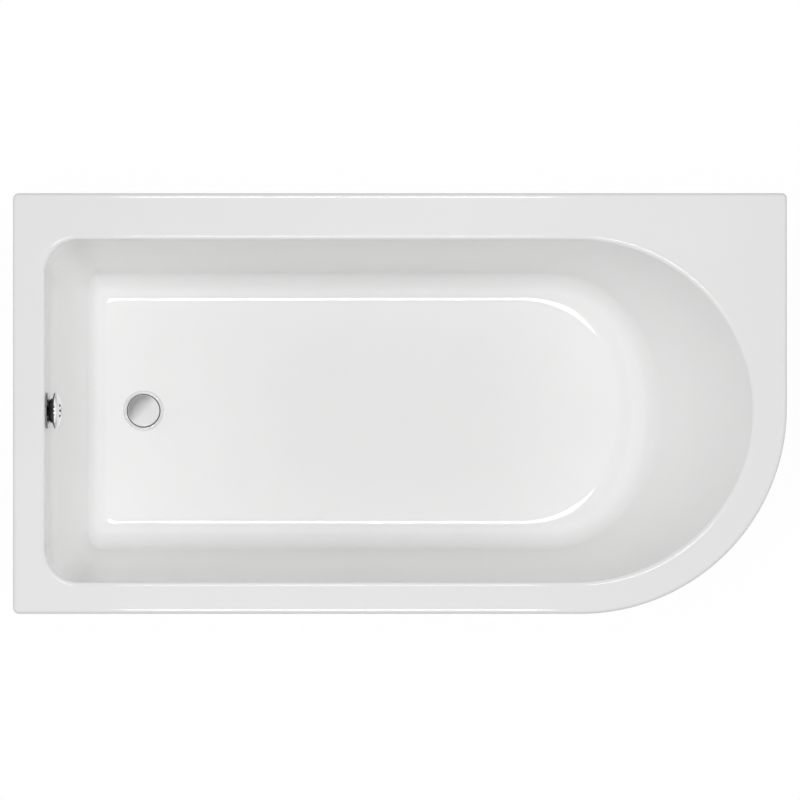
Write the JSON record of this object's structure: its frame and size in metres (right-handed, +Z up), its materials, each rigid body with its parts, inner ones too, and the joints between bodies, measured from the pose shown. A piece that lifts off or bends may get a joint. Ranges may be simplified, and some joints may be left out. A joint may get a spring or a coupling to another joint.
{
  "type": "shower bath",
  "caption": "White shower bath with a square waste end, a round head end, a rotary pop-up waste and overflow, on a steel leg set with adjustable feet.",
  "frame": {"origin": "middle of the rim's footprint, on the floor", "axes": "+X along the length towards the round head end, +Y towards the wall side, +Z up"},
  "size_m": [1.5, 0.815, 0.545],
  "materials": {
    "acrylic": "high gloss moulded acrylic",
    "glass_fibre": "rough sprayed glass fibre and resin",
    "chipboard": "raw chipboard",
    "timber": "sawn softwood",
    "galvanised_steel": "galvanised, spangled",
    "zinc_steel": "bright zinc",
    "foot_plastic": "black moulded plastic",
    "chrome": "polished chrome",
    "stem_steel": "turned stainless steel",
    "rubber": "soft black rubber",
    "white_plastic": "white moulded plastic",
    "hose_plastic": "ribbed pale grey plastic",
    "cable_plastic": "black plastic"
  },
  "bodies": {
    "root": {"acrylic_shell": "acrylic", "fibreglass_backing": "glass_fibre", "baseboard": "chipboard", "batten_back": "timber", "batten_front": "timber", "batten_left": "timber", "batten_right": "timber", "leg_rail_waste_end": "galvanised_steel", "leg_rail_head_end": "galvanised_steel", "centre_leg_plate": "galvanised_steel", "rail_screws": "zinc_steel", "centre_plate_screws": "zinc_steel", "leg_nuts_upper": "zinc_steel", "leg_nuts_lower": "zinc_steel", "wall_bracket_1": "galvanised_steel", "wall_bracket_2": "galvanised_steel", "bracket_screws": "zinc_steel", "waste_flange": "chrome", "waste_upper_seal": "rubber", "waste_lower_seal": "rubber", "waste_body": "white_plastic", "lever_pin": "stem_steel", "overflow_flange": "chrome", "overflow_seal": "rubber", "overflow_elbow": "white_plastic", "overflow_hose": "hose_plastic", "hose_nut_upper": "white_plastic", "hose_nut_lower": "white_plastic", "cable_sheath": "cable_plastic", "cable_gland_upper": "cable_plastic", "cable_gland_lower": "cable_plastic"},
    "knob": {"overflow_knob": "chrome", "knob_collar": "foot_plastic", "knob_spindle": "stem_steel"},
    "plug": {"plug_cap": "chrome", "plug_seal": "rubber", "plug_stem": "stem_steel"},
    "lever": {"lift_lever": "stem_steel"},
    "foot_1": {"leg_rod_1": "zinc_steel", "foot_pad_1": "foot_plastic"},
    "foot_2": {"leg_rod_2": "zinc_steel", "foot_pad_2": "foot_plastic"},
    "foot_3": {"leg_rod_3": "zinc_steel", "foot_pad_3": "foot_plastic"},
    "foot_4": {"leg_rod_4": "zinc_steel", "foot_pad_4": "foot_plastic"},
    "foot_5": {"leg_rod_5": "zinc_steel", "foot_pad_5": "foot_plastic"}
  },
  "joints": [
    {"name": "knob_turn", "type": "hinge", "parent": "root", "child": "knob", "pos_m": [-0.68422, -0.014, 0.503], "axis": [0.9945, 0, 0.1045], "range_deg": [0, 100]},
    {"name": "plug_lift", "type": "slide", "parent": "root", "child": "plug", "axis": [0, 0, 1], "range_m": [0, 0.01]},
    {"name": "lever_swing", "type": "hinge", "parent": "root", "child": "lever", "pos_m": [-0.518, -0.014, 0.1196], "axis": [0, -1, 0], "range_deg": [0, 32.4]},
    {"name": "foot_1_height", "type": "slide", "parent": "root", "child": "foot_1", "axis": [0, 0, 1], "range_m": [-0.03, 0]},
    {"name": "foot_2_height", "type": "slide", "parent": "root", "child": "foot_2", "axis": [0, 0, 1], "range_m": [-0.03, 0]},
    {"name": "foot_3_height", "type": "slide", "parent": "root", "child": "foot_3", "axis": [0, 0, 1], "range_m": [-0.03, 0]},
    {"name": "foot_4_height", "type": "slide", "parent": "root", "child": "foot_4", "axis": [0, 0, 1], "range_m": [-0.03, 0]},
    {"name": "foot_5_height", "type": "slide", "parent": "root", "child": "foot_5", "axis": [0, 0, 1], "range_m": [-0.015, 0]}
  ],
  "couplings": [
    {"joint": "plug_lift", "follows": "knob_turn", "m_per_rad": 0.005718},
    {"joint": "lever_swing", "follows": "knob_turn", "ratio": 0.32255}
  ]
}
